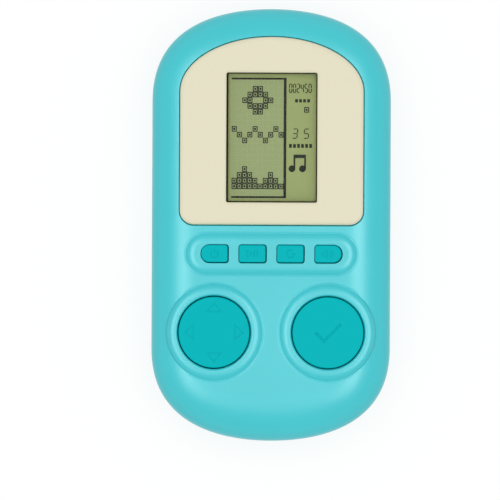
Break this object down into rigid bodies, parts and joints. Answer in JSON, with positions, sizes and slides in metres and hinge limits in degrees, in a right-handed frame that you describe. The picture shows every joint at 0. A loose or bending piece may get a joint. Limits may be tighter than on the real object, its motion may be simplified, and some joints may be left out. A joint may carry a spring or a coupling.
{
  "type": "handheld lcd game",
  "caption": "Handheld LCD game with a rounded two-part case, a framed screen, a row of function keys, a rocking direction disc and a round action button.",
  "frame": {"origin": "middle of the rear face, on the plane the game rests on", "axes": "+Z out of the front, +Y towards the top end of the game, +X to the right seen from the front"},
  "size_m": [0.0746, 0.135, 0.0231],
  "materials": {
    "case_plastic": "satin",
    "key_plastic": "satin",
    "panel_plastic": "satin",
    "lens_plastic": "polished",
    "screen_glass": "satin",
    "reflector_film": "satin",
    "frame_plastic": "matte",
    "zebra_rubber": "matte",
    "board_laminate": "satin",
    "chip_epoxy": "satin",
    "capacitor_sleeve": "satin",
    "mat_rubber": "matte",
    "contact_carbon": "matte",
    "sounder_brass": "satin",
    "sounder_ceramic": "matte",
    "contact_steel": "satin",
    "screw_steel": "satin",
    "battery_jacket": "satin",
    "red_wire": "satin",
    "black_wire": "satin"
  },
  "bodies": {
    "case": {"front_shell": "case_plastic", "rear_shell": "case_plastic", "screen_panel": "panel_plastic", "screen_lens": "lens_plastic", "front_polariser": "screen_glass", "front_glass": "screen_glass", "rear_glass": "screen_glass", "screen_reflector": "reflector_film", "screen_frame": "frame_plastic", "upper_zebra_strip": "zebra_rubber", "lower_zebra_strip": "zebra_rubber", "main_board": "board_laminate", "chip_epoxy_cap": "chip_epoxy", "clock_resistor": "chip_epoxy", "sounder_resistor": "chip_epoxy", "supply_capacitor": "capacitor_sleeve", "function_key_mat": "mat_rubber", "direction_mat": "mat_rubber", "action_mat": "mat_rubber", "sounder_plate": "sounder_brass", "sounder_ceramic": "sounder_ceramic", "positive_contact": "contact_steel", "negative_contact": "contact_steel", "bridge_contact": "contact_steel", "negative_spring": "contact_steel", "bridge_spring": "contact_steel", "case_screw_1": "screw_steel", "case_screw_2": "screw_steel", "case_screw_3": "screw_steel", "case_screw_4": "screw_steel", "case_screw_5": "screw_steel", "case_screw_6": "screw_steel", "board_screw_1": "screw_steel", "board_screw_2": "screw_steel", "board_screw_3": "screw_steel", "board_screw_4": "screw_steel", "left_battery": "battery_jacket", "right_battery": "battery_jacket", "positive_wire": "red_wire", "sounder_wire_ceramic": "red_wire", "negative_wire": "black_wire", "sounder_wire_plate": "black_wire"},
    "battery_door": {"battery_door": "case_plastic"},
    "power_key": {"power_key": "key_plastic", "power_contact": "contact_carbon"},
    "pause_key": {"pause_key": "key_plastic", "pause_contact": "contact_carbon"},
    "restart_key": {"restart_key": "key_plastic", "restart_contact": "contact_carbon"},
    "sound_key": {"sound_key": "key_plastic", "sound_contact": "contact_carbon"},
    "direction_up_down": {"up_contact": "contact_carbon", "down_contact": "contact_carbon"},
    "direction_disc": {"direction_disc": "key_plastic", "left_contact": "contact_carbon", "right_contact": "contact_carbon"},
    "action_disc": {"action_disc": "key_plastic", "action_contact": "contact_carbon"}
  },
  "joints": [
    {"name": "power_key_press", "type": "slide", "parent": "case", "child": "power_key", "axis": [0, 0, -1], "range_m": [0, 0.001], "stiffness_N_per_m": 500, "deforming": ["function_key_mat"]},
    {"name": "pause_key_press", "type": "slide", "parent": "case", "child": "pause_key", "axis": [0, 0, -1], "range_m": [0, 0.001], "stiffness_N_per_m": 500, "deforming": ["function_key_mat"]},
    {"name": "restart_key_press", "type": "slide", "parent": "case", "child": "restart_key", "axis": [0, 0, -1], "range_m": [0, 0.001], "stiffness_N_per_m": 500, "deforming": ["function_key_mat"]},
    {"name": "sound_key_press", "type": "slide", "parent": "case", "child": "sound_key", "axis": [0, 0, -1], "range_m": [0, 0.001], "stiffness_N_per_m": 500, "deforming": ["function_key_mat"]},
    {"name": "action_disc_press", "type": "slide", "parent": "case", "child": "action_disc", "axis": [0, 0, -1], "range_m": [0, 0.001], "stiffness_N_per_m": 600, "deforming": ["action_mat"]},
    {"name": "direction_up_down_tilt", "type": "hinge", "parent": "case", "child": "direction_up_down", "pos_m": [-0.0176, -0.03335, 0.01815], "axis": [1, 0, 0], "range_deg": [-3, 3], "stiffness_Nm_per_rad": 0.15, "deforming": ["direction_mat"]},
    {"name": "direction_left_right_tilt", "type": "hinge", "parent": "direction_up_down", "child": "direction_disc", "pos_m": [-0.0176, -0.03335, 0.01815], "axis": [0, 1, 0], "range_deg": [-3, 3], "stiffness_Nm_per_rad": 0.15, "deforming": ["direction_mat"]},
    {"name": "battery_door_slide", "type": "slide", "parent": "case", "child": "battery_door", "axis": [0, -1, 0], "range_m": [0, 0.008]}
  ]
}
